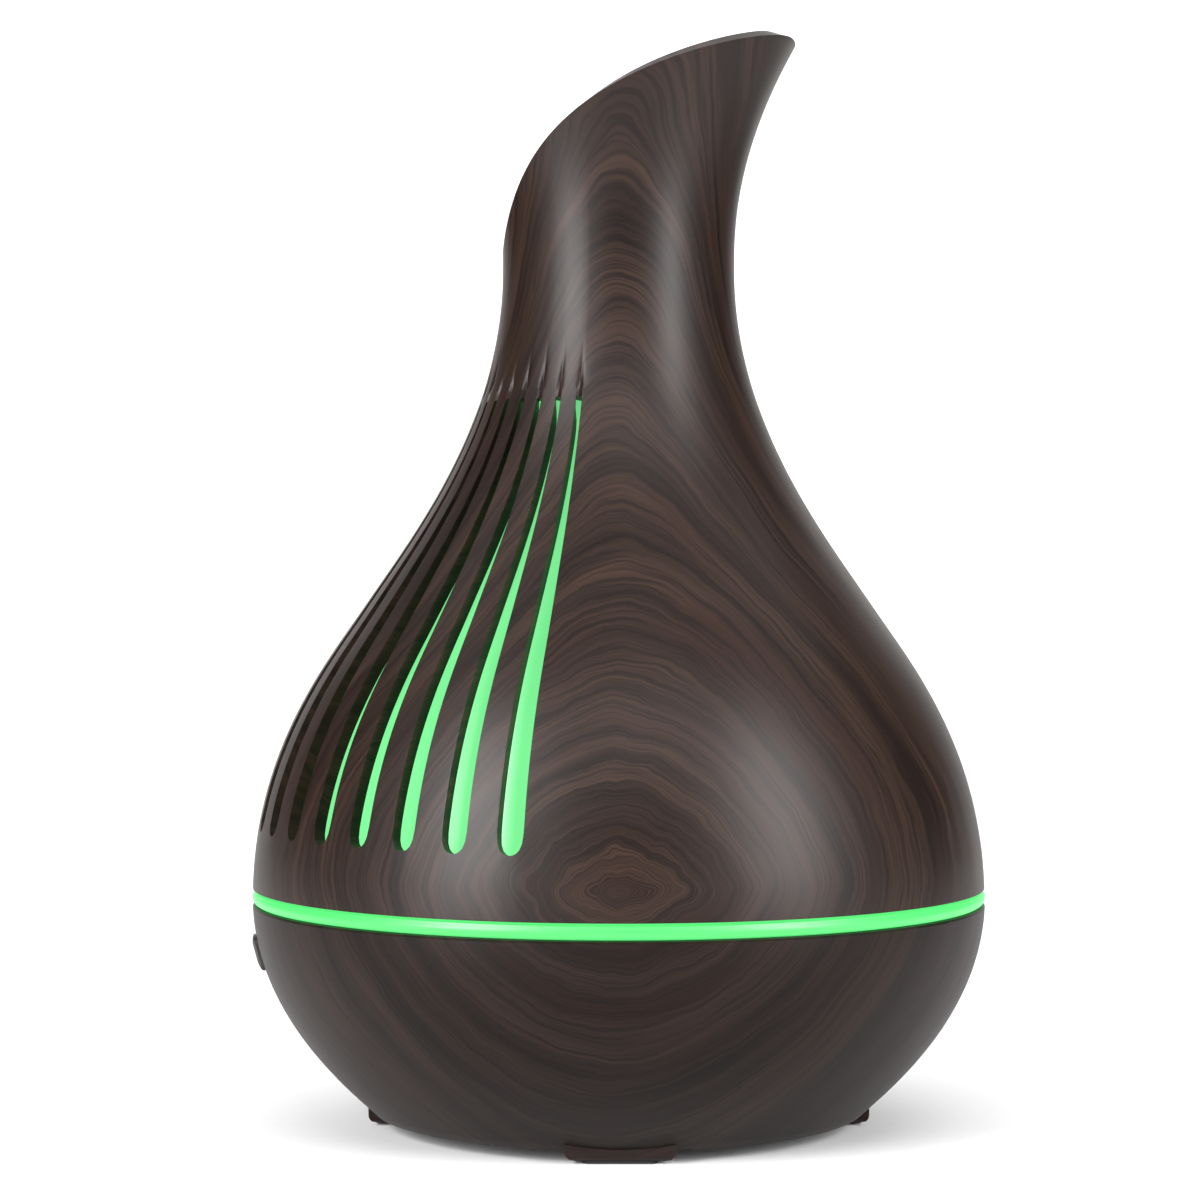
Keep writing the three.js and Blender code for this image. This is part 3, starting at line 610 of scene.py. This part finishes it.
def outer_cover():
    """The gourd-shaped shell: spun in rows, its points moved into shape, its slots opened."""
    s = sizes()
    heights = cover_heights()
    shoulder = heights[-1]
    mouth_rows = 14
    outline = [(side_radius(z), z) for z in heights]
    outline += [(0.01, shoulder + 0.001 * (i + 1)) for i in range(mouth_rows)]
    first_slot = SLOT_CENTRE - (s.slot_count - 1) / 2 * s.slot_pitch - s.slot_angle / 2
    obj = draw_outline("outer_cover_shell", outline, first_slot)
    rib = s.slot_pitch - s.slot_angle
    for index in range(s.slot_count):
        spin_on(4, s.slot_angle)
        if index < s.slot_count - 1:
            spin_on(2, rib)
    spin_on(40, math.tau - s.slot_count * s.slot_angle - (s.slot_count - 1) * rib)
    close_spin(obj)

    # Shape the mouth, the round slot ends and the flutes by moving the mesh's own points.
    centre = [SLOT_CENTRE + (i - (s.slot_count - 1) / 2) * s.slot_pitch for i in range(s.slot_count)]
    choose(obj)
    bpy.ops.object.mode_set(mode="EDIT")
    shape = bmesh.from_edit_mesh(obj.data)
    low_row = heights[5]
    taper_from, taper = 0.105, 0.42  # each slot narrows by this share, from this height up
    flute_rows = {round(s.slot_high + s.flute_length * f, 6): depth
                  for f, depth in ((0, 1.0), (0.16, 0.85), (0.35, 0.55), (0.6, 0.25))}
    for point in shape.verts:
        angle = math.atan2(point.co.y, point.co.x) % math.tau
        radius = math.hypot(point.co.x, point.co.y)
        height = point.co.z
        if radius < 0.0101 and height > shoulder:
            share = (height - shoulder) / (0.001 * mouth_rows)
            height = shoulder + (mouth_height(round(angle, 5)) - shoulder) * share
            radius = side_radius(height)
        near = min(centre, key=lambda c: abs(c - angle))
        off = abs(near - angle)
        inside = off < s.slot_angle / 2 - 1e-4
        if inside and abs(height - low_row) < 1e-5:
            share = off / (s.slot_angle / 2)
            height = low_row - (low_row - s.slot_low) * (1 - share ** 3)
            radius = side_radius(height)
        elif abs(height - low_row) < 1e-5 and off < s.slot_angle / 2 + 1e-4:
            height = low_row - 0.0009
            radius = side_radius(height)
        depth = flute_rows.get(round(height, 6))
        if depth and inside:
            radius -= s.flute_depth * depth * (0.6 if off > 1e-3 else 1.0)
        if off < s.slot_angle / 2 + 1e-4 and taper_from < height < shoulder:
            rise = min((height - taper_from) / (s.slot_high - taper_from), 1.0)
            fall = min((shoulder - height) / (shoulder - s.slot_high - s.flute_length), 1.0)
            ease = rise * rise * (3 - 2 * rise) * fall
            angle = near + (angle - near) * (1 - taper * ease)
        point.co = (radius * math.cos(angle), radius * math.sin(angle), height)

    # Open the slots.
    gone = []
    for face in shape.faces:
        middle = face.calc_center_median()
        angle = math.atan2(middle.y, middle.x) % math.tau
        off = min(abs(c - angle) for c in centre)
        low_edge = max(v.co.z for v in face.verts) - (heights[6] - low_row) * 0.9
        high_edge = max(v.co.z for v in face.verts)
        if off < s.slot_angle / 2 and low_edge > low_row and high_edge < s.slot_high + 1e-5:
            gone.append(face)
    bmesh.ops.delete(shape, geom=gone, context="FACES")
    bmesh.update_edit_mesh(obj.data)
    bpy.ops.object.mode_set(mode="OBJECT")

    add_modifier(obj, "SOLIDIFY", thickness=s.cover_wall, offset=-1.0, use_even_offset=True,
                 use_quality_normals=True)
    apply_modifiers(obj)
    tip = CAD_BOX[1][2] - 0.0002
    for point in obj.data.vertices:
        point.co.z = min(max(point.co.z, COVER_LOW), tip)
    add_modifier(obj, "BEVEL", width=0.0004, segments=2, limit_method="ANGLE", angle_limit=math.radians(50))
    add_modifier(obj, "SUBSURF", levels=1, render_levels=1)
    apply_modifiers(obj)
    smooth(obj, 60)
    return settle(obj, ["outer_cover"], "outer_cover", "woodgrain_shell", finish("woodgrain"))


# ---------------------------------------------------------------- ring, bowl and shade

def light_ring():
    """A clear ring with a crowned face, its edges proud of the grooves above and below it."""
    low, high, outer = RING_LOW.z + 0.0001, RING_HIGH.z - 0.0001, RING_RADIUS
    inner, crown = outer - 0.0032, 0.0006
    outline = [(inner, low), (outer - 0.0009, low), (outer - 0.0004, low + 0.0003)]
    for i in range(7):
        share = i / 6
        crowned = outer - crown * (2 * share - 1) ** 2 * 0.6
        outline.append((crowned, low + 0.0005 + (high - low - 0.001) * share))
    outline += [(outer - 0.0004, high - 0.0003), (outer - 0.0009, high), (inner, high)]
    obj = spun("lit_ring", outline, 160, closed=True)
    smooth(obj, 40)
    return settle(obj, ["light_ring"], "base", "lit_ring", finish("ring"))


def base_bowl():
    """The bowl, spun as one closed wall, with the plug's recess and the buttons' holes cut out."""
    s = sizes()
    top = BOWL_HIGH
    wall = s.bowl_wall
    heights = [BOWL_LOW + 0.0003 + (top - 0.0007 - BOWL_LOW) * i / 26 for i in range(27)]
    outer = [(side_radius(z), z) for z in heights]
    inner = [side_point(z, wall) for z in reversed(heights)]
    inner = [(r, z) for r, z in inner if z > 0.0085 and r < side_radius(top) - wall]
    ledge = 0.0475
    outline = [(0.05, BOWL_LOW + 0.0003), (0.0503, BOWL_LOW), (0.0556, BOWL_LOW)] + outer
    outline += [(side_radius(top) - 0.0004, top), (side_radius(top) - wall, top)] + inner
    outline += [(0.0525, 0.0068), (ledge, 0.0068), (ledge, 0.0048), (0.05, 0.0048)]
    obj = spun("bowl_shell", outline, 144, closed=True)
    cut(obj, draw_recess())
    for node in BUTTONS:
        low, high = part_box(node)
        middle = (low.y + high.y) / 2
        half = 0.0043
        hole = block("hole", (-0.0845, middle - half, BUTTON_HEIGHT - half),
                     (-0.068, middle + half, BUTTON_HEIGHT + half))
        bevel_edges(hole, lambda a, b: abs(a.x - b.x) > 0.01, 0.002, 5)
        cut(obj, hole)
    add_modifier(obj, "BEVEL", width=0.0003, segments=2, limit_method="ANGLE", angle_limit=math.radians(50),
                 harden_normals=False)
    apply_modifiers(obj)
    smooth(obj, 40)
    # The bowl takes the darker copy of the woodgrain, which paints shade onto it.
    return settle(obj, ["base_bowl"], "base", "woodgrain_shell", finish("bowl_woodgrain_painted_shade"))


def draw_recess():
    """The plug recess's cutter: a cylinder along X at the socket."""
    deselect()
    bpy.ops.mesh.primitive_cylinder_add(
        vertices=48, radius=0.006, depth=0.02, location=SOCKET_PLACE, rotation=(0, math.pi / 2, 0))
    obj = bpy.context.object
    bpy.ops.object.transform_apply(location=True, rotation=True, scale=True)
    return obj


def lit_shade():
    """The inner cover: a thin shell that keeps one distance inside the outer cover's face."""
    s = sizes()
    rows = 44
    heights = [SHADE_LOW.z + (SHADE_HIGH.z - SHADE_LOW.z) * i / rows for i in range(rows + 1)]
    outer = [(side_radius(z) - s.shade_inset, z) for z in heights]
    inner = [(side_radius(z) - s.shade_inset - s.shade_wall, z) for z in reversed(heights)]
    obj = spun("lit_shade", outer + inner, 96, closed=True)
    add_modifier(obj, "BEVEL", width=0.0005, segments=2, limit_method="ANGLE", angle_limit=math.radians(50))
    apply_modifiers(obj)
    smooth(obj, 40)
    return settle(obj, ["inner_cover"], "inner_cover", "lit_shade", finish("shade"))


# ---------------------------------------------------------------- buttons and feet

def press_button(node, body):
    """A square peg through the bowl, its face rounded and following the bowl's slope."""
    low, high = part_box(node)
    middle = (low.y + high.y) / 2
    centre_z = (low.z + high.z) / 2
    half, reach = 0.004, 0.0012
    obj = block(node + "_peg", (-0.0835, middle - half, centre_z - half),
                (-0.0757, middle + half, centre_z + half))
    bevel_edges(obj, lambda a, b: abs(a.x - b.x) > 0.005, 0.002, 6)
    choose(obj)
    bpy.ops.object.mode_set(mode="EDIT")
    bpy.ops.mesh.select_mode(type="FACE")
    bpy.ops.mesh.select_all(action="DESELECT")
    shape = bmesh.from_edit_mesh(obj.data)
    shape.faces.ensure_lookup_table()
    front = min(shape.faces, key=lambda f: f.calc_center_median().x)
    front.select_set(True)
    bmesh.update_edit_mesh(obj.data)
    for _ in range(4):
        bpy.ops.mesh.inset(thickness=0.00045, depth=0)
    bpy.ops.mesh.select_all(action="DESELECT")
    bpy.ops.mesh.select_mode(type="VERT")
    shape = bmesh.from_edit_mesh(obj.data)
    for point in shape.verts:
        if point.co.x < -0.08:
            edge = max(abs(point.co.y - middle), abs(point.co.z - centre_z)) / half
            dome = 0.0006 * max(edge - 0.45, 0) ** 2 / 0.3
            point.co.x = -math.sqrt(max((side_radius(point.co.z) + reach) ** 2 - point.co.y ** 2, 0)) + dome
    bmesh.update_edit_mesh(obj.data)
    bpy.ops.object.mode_set(mode="OBJECT")
    smooth(obj, 50)
    flange = block(node + "_flange", (-0.0766, middle - 0.0047, centre_z - 0.0047),
                   (-0.0754, middle + 0.0047, centre_z + 0.0047))
    bevel_edges(flange, lambda a, b: abs(a.x - b.x) > 0.0005, 0.0015, 4)
    smooth(flange, 40)
    deselect()
    flange.select_set(True)
    obj.select_set(True)
    bpy.context.view_layer.objects.active = obj
    bpy.ops.object.join()
    return settle(obj, [node], body, "dark_button", finish("button"))


def foot(index):
    """A short block that grows out of the bowl's lower edge, its corners well rounded."""
    node = "foot_%d" % index
    turn = (index - 1) * math.pi / 2
    inner, outer, low, high = 0.0504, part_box("foot_1")[1].x, 0.0004, 0.0102
    rough_half, spare = 0.0127, 0.0015
    obj = block(node + "_block", (inner, -rough_half, low), (outer + spare, rough_half, high))
    choose(obj)
    bpy.ops.object.mode_set(mode="EDIT")
    bpy.ops.mesh.select_all(action="SELECT")
    bpy.ops.mesh.subdivide(number_cuts=15)
    shape = bmesh.from_edit_mesh(obj.data)
    corner = 0.0022
    for point in shape.verts:
        share = (point.co.z - low) / (high - low)
        half = 0.0115 + 0.0012 * share
        point.co.y *= half / rough_half
        point.co.x = inner + (point.co.x - inner) * (outer - inner) / (outer + spare - inner)
        # Round the two lower outer corners and the lower outer edge.
        drop = (low + corner) - point.co.z
        if drop > 0:
            pull = corner - math.sqrt(max(corner ** 2 - drop ** 2, 0))
            if point.co.x > outer - pull:
                point.co.x = outer - pull
            side = half - pull
            if abs(point.co.y) > side:
                point.co.y = math.copysign(side, point.co.y)
        lid = bowl_top_at(round(math.hypot(point.co.x, point.co.y), 5))
        if point.co.z > lid:
            point.co.z = lid
    bmesh.update_edit_mesh(obj.data)
    bpy.ops.mesh.select_all(action="SELECT")
    bpy.ops.mesh.remove_doubles(threshold=0.00002)
    bpy.ops.mesh.normals_make_consistent(inside=False)
    bpy.ops.object.mode_set(mode="OBJECT")
    choose(obj)
    obj.rotation_euler.z = turn
    bpy.ops.object.transform_apply(location=False, rotation=True, scale=False)
    smooth(obj, 45)
    return settle(obj, [node], "base", "foot_plastic", finish("foot"))


@functools.lru_cache(maxsize=None)
def bowl_top_at(radius):
    """Height at which the bowl's outer face has a radius, a little inside it so that the two join."""
    if radius <= side_radius(BOWL_LOW + 0.0001):
        return BOWL_LOW + 0.0003
    low, high = BOWL_LOW, 0.05
    for _ in range(30):
        middle = (low + high) / 2
        if side_radius(middle) < radius:
            low = middle
        else:
            high = middle
    return low + 0.0003


# ---------------------------------------------------------------- tank

def water_tank():
    """The tank's bowl with its flange and upstand, spun, with the flue's hole and its bosses."""
    outer = [(0.0085, 0.023), (0.0545, 0.023)]
    inner = [(0.0085, 0.025), (0.0545, 0.025)]
    for i in range(1, 15):
        turn = math.pi / 2 * i / 14
        outer.append((0.056 + 0.013 * math.sin(turn), 0.0375 - 0.0145 * math.cos(turn)))
        inner.append((0.056 + 0.011 * math.sin(turn), 0.0375 - 0.0125 * math.cos(turn)))
    outer += [(0.069, 0.0425), (0.069, 0.0475), (0.0807, 0.0475), (0.0807, 0.0538)]
    inner += [(0.067, 0.0435), (0.067, 0.0498), (0.0777, 0.0498), (0.0777, 0.0538)]
    obj = spun("tank_shell", outer + list(reversed(inner)), 112, closed=True)
    flue = cylinder("flue_hole", 0.0078, 0.022, 0.030, (0, 0.048))
    cut(obj, flue)
    add_modifier(obj, "BEVEL", width=0.0005, segments=2, limit_method="ANGLE", angle_limit=math.radians(50))
    apply_modifiers(obj)
    smooth(obj, 35)
    parts = [obj]
    for index in range(4):
        turn = math.pi / 4 + index * math.pi / 2
        parts.append(boss(0.0035, 0.0008, 0.0072, 0.0235, (0.040 * math.cos(turn), 0.040 * math.sin(turn))))
    for turn in (math.radians(30), math.radians(150), math.radians(270)):
        parts.append(boss(0.003, 0.0008, 0.0189, 0.0235, (0.0165 * math.cos(turn), 0.0165 * math.sin(turn))))
    deselect()
    for part in parts:
        part.select_set(True)
    bpy.context.view_layer.objects.active = obj
    bpy.ops.object.join()
    return settle(obj, ["water_tank", "tank_floor"], "base", "tank_plastic", finish("tank"))


def cylinder(name, radius, low, high, centre=(0, 0), vertices=48):
    """An upright cylinder between two heights."""
    deselect()
    bpy.ops.mesh.primitive_cylinder_add(
        vertices=vertices, radius=radius, depth=high - low, location=(centre[0], centre[1], (low + high) / 2))
    obj = bpy.context.object
    obj.name = obj.data.name = name
    bpy.ops.object.transform_apply(location=True, rotation=True, scale=True)
    return obj


def shift(obj, place):
    """Moves a piece to its place, in its mesh."""
    choose(obj)
    obj.location = place
    bpy.ops.object.transform_apply(location=True, rotation=True, scale=True)
    return obj


def boss(radius, bore, low, high, centre):
    """A screw boss: a tube with a chamfered mouth."""
    outline = [(bore, low), (radius - 0.0003, low), (radius, low + 0.0003), (radius, high), (bore, high)]
    obj = spun("boss", outline, 28, closed=True)
    smooth(obj, 35)
    return shift(obj, (centre[0], centre[1], 0))


def air_chimney():
    """The flue that carries the fan's air through the tank, its lip rounded."""
    low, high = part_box("air_chimney")
    outer, inner = 0.0075, 0.0059
    bottom, top = low.z, high.z
    outline = [(inner, bottom), (outer, bottom), (outer, top - 0.0008), (outer - 0.0003, top - 0.0002),
               (outer - 0.0008, top), (inner + 0.0004, top - 0.0001), (inner, top - 0.0005)]
    obj = spun("chimney_tube", outline, 56, closed=True)
    smooth(obj, 40)
    shift(obj, (0, (low.y + high.y) / 2, 0))
    return settle(obj, ["air_chimney"], "base", "tank_plastic", finish("tank"))


# ---------------------------------------------------------------- carried-over pieces and the stage

SLOT_FINISH = {
    "woodgrain_shell": "woodgrain", "foot_plastic": "foot", "dark_button": "button", "lit_ring": "ring",
    "lit_shade": "shade", "tank_plastic": "tank", "black_plastic": "black", "black_rubber": "rubber",
    "circuit_board": "board", "plated_steel": "steel", "bare_aluminium": "aluminium", "disc_metal": "disc",
    "bearing_bronze": "bronze", "copper_wire": "copper", "led_lamp": "lamp",
}


def paint_nodes():
    """Gives every node of the frame the finish that its slot names."""
    slots = {part["node"]: part["material_slot"] for part in frame["record"]["subparts"]}
    for name, obj in frame["nodes"].items():
        obj.material_slots[0].material = finish(SLOT_FINISH[slots[name]])


def soft_light(name, place, aim, width, height, watts):
    """A rectangular light at a place, aimed at another."""
    deselect()
    bpy.ops.object.light_add(type="AREA", location=place)
    obj = bpy.context.object
    obj.name = name
    obj.data.shape = "RECTANGLE"
    obj.data.size, obj.data.size_y, obj.data.energy = width, height, watts
    obj.rotation_euler = (Vector(aim) - Vector(place)).to_track_quat("-Z", "Y").to_euler()
    return obj


def add_camera():
    """The camera, level with the middle of the body, and the plain view transform."""
    deselect()
    bpy.ops.object.camera_add(location=(-0.0043, -0.672, 0.1199), rotation=(math.pi / 2, 0, 0))
    camera = bpy.context.object
    camera.data.lens = 87.0
    camera.data.clip_start = 0.01
    camera.data.dof.use_dof = False
    bpy.context.scene.camera = camera
    bpy.context.scene.view_settings.view_transform = "Standard"
    return camera


def add_stage():
    """A white sweep: a floor that curves up into a backdrop."""
    half, front, back, bend = 1.1, -1.2, 1.6, 0.5
    obj = first_point("studio_floor", (-half, front, 0))
    stops = [(-half, back - bend, 0)]
    stops += [(-half, back - bend + bend * math.sin(math.pi / 2 * i / 12),
               bend - bend * math.cos(math.pi / 2 * i / 12)) for i in range(1, 13)]
    stops.append((-half, back, 2.6))
    here = Vector((-half, front, 0))
    for stop in stops:
        bpy.ops.mesh.extrude_region_move(TRANSFORM_OT_translate={"value": Vector(stop) - here})
        here = Vector(stop)
    bpy.ops.mesh.select_all(action="SELECT")
    bpy.ops.mesh.extrude_region_move(TRANSFORM_OT_translate={"value": (2 * half, 0, 0)})
    bpy.ops.object.mode_set(mode="OBJECT")
    smooth(obj, 60)
    # Uncoated paper: matt, with a faint fleck 3 mm across.
    material, tree, shader = new_material("White paper sweep", roughness=0.9, metallic=0.0)
    place = add_node(tree, "ShaderNodeTexCoord")
    fleck = add_node(tree, "ShaderNodeTexNoise", {"Vector": (place, "Object"), "Scale": 300.0})
    tone = add_node(tree, "ShaderNodeMix", {
        "Factor": (fleck, 0), 6: linear("#e0e0e0"), 7: linear("#e4e4e4")}, data_type="RGBA")
    tree.links.new(tone.outputs[2], shader.inputs["Base Color"])
    obj.data.materials.append(material)
    soft_light("key_light", (-0.89, -0.84, 0.56), (0, 0, 0.16), 0.42, 1.0, 36)
    soft_light("fill_light", (0.95, -0.75, 0.56), (0, 0, 0.16), 0.32, 1.0, 26)
    soft_light("front_light", (0.12, -0.85, 1.05), (0, 0, 0.1), 0.8, 0.35, 5)
    soft_light("top_light", (0, 0.1, 1.7), (0, 0.2, 0), 2.0, 2.0, 2)
    soft_light("back_light", (0, 0.55, 1.5), (0, 1.6, 0.5), 2.5, 0.8, 32)
    world = bpy.data.worlds.new("Studio")
    world.use_nodes = True
    # The room is seen pale from every side, but lights the object only faintly.
    room = world.node_tree.nodes["Background"]
    room.inputs["Color"].default_value = (1, 1, 1, 1)
    seen = add_node(world.node_tree, "ShaderNodeLightPath")
    strength = add_node(world.node_tree, "ShaderNodeMapRange", {
        "Value": (seen, "Is Camera Ray"), "To Min": 0.04, "To Max": 0.8})
    world.node_tree.links.new(strength.outputs[0], room.inputs["Strength"])
    bpy.context.scene.world = world


# ---------------------------------------------------------------- operators

class Build:
    """What every operator here shares: it makes its pieces in a settled scene or raises."""
    bl_options = {"REGISTER", "UNDO"}

    def execute(self, context):
        self.build()
        deselect()
        return {"FINISHED"}


class HUMIDIFIER_OT_stage(Build, bpy.types.Operator):
    """Add the camera, the white sweep and the studio lights"""
    bl_idname = "humidifier.stage"
    bl_label = "Stage"

    def build(self):
        add_camera()
        add_stage()


class HUMIDIFIER_OT_finishes(Build, bpy.types.Operator):
    """Give every carried-over piece its finish"""
    bl_idname = "humidifier.finishes"
    bl_label = "Finishes"

    def build(self):
        paint_nodes()


class HUMIDIFIER_OT_outer_cover(Build, bpy.types.Operator):
    """Build the outer cover with its slots, flutes and slanted mouth"""
    bl_idname = "humidifier.outer_cover"
    bl_label = "Outer cover"

    def build(self):
        outer_cover()


class HUMIDIFIER_OT_light_ring(Build, bpy.types.Operator):
    """Build the lit ring between the bowl and the cover"""
    bl_idname = "humidifier.light_ring"
    bl_label = "Light ring"

    def build(self):
        light_ring()


class HUMIDIFIER_OT_base_bowl(Build, bpy.types.Operator):
    """Build the base bowl with its button holes and plug recess"""
    bl_idname = "humidifier.base_bowl"
    bl_label = "Base bowl"

    def build(self):
        base_bowl()


class HUMIDIFIER_OT_inner_cover(Build, bpy.types.Operator):
    """Build the lit shade inside the outer cover"""
    bl_idname = "humidifier.inner_cover"
    bl_label = "Inner cover"

    def build(self):
        lit_shade()


class HUMIDIFIER_OT_buttons(Build, bpy.types.Operator):
    """Build the two press buttons"""
    bl_idname = "humidifier.buttons"
    bl_label = "Buttons"

    def build(self):
        for node in BUTTONS:
            press_button(node, node)


class HUMIDIFIER_OT_feet(Build, bpy.types.Operator):
    """Build the four feet"""
    bl_idname = "humidifier.feet"
    bl_label = "Feet"

    def build(self):
        for index in range(1, 5):
            foot(index)


class HUMIDIFIER_OT_tank(Build, bpy.types.Operator):
    """Build the water tank and the air chimney"""
    bl_idname = "humidifier.tank"
    bl_label = "Water tank"

    def build(self):
        water_tank()
        air_chimney()


OPERATORS = (
    HUMIDIFIER_OT_stage, HUMIDIFIER_OT_finishes, HUMIDIFIER_OT_outer_cover, HUMIDIFIER_OT_light_ring,
    HUMIDIFIER_OT_base_bowl, HUMIDIFIER_OT_inner_cover, HUMIDIFIER_OT_buttons, HUMIDIFIER_OT_feet,
    HUMIDIFIER_OT_tank,
)


class HUMIDIFIER_PT_panel(bpy.types.Panel):
    """Sizes, colours and build buttons for the humidifier"""
    bl_label = "Cool Mist Humidifier"
    bl_idname = "HUMIDIFIER_PT_panel"
    bl_space_type = "VIEW_3D"
    bl_region_type = "UI"
    bl_category = "Humidifier"

    def draw(self, context):
        for group in (context.scene.humidifier_sizes, context.scene.humidifier_colours):
            box = self.layout.box()
            for name in group.__annotations__:
                box.prop(group, name)
        for operator in OPERATORS:
            self.layout.operator(operator.bl_idname)


CLASSES = (HumidifierSizes, HumidifierColours) + OPERATORS + (HUMIDIFIER_PT_panel,)


def register():
    for cls in CLASSES:
        bpy.utils.register_class(cls)
    bpy.types.Scene.humidifier_sizes = bpy.props.PointerProperty(type=HumidifierSizes)
    bpy.types.Scene.humidifier_colours = bpy.props.PointerProperty(type=HumidifierColours)


def unregister():
    del bpy.types.Scene.humidifier_colours
    del bpy.types.Scene.humidifier_sizes
    for cls in reversed(CLASSES):
        bpy.utils.unregister_class(cls)


def main():
    register()
    for operator in OPERATORS:
        group, name = operator.bl_idname.split(".")
        getattr(getattr(bpy.ops, group), name)()


if __name__ == "__main__":
    main()
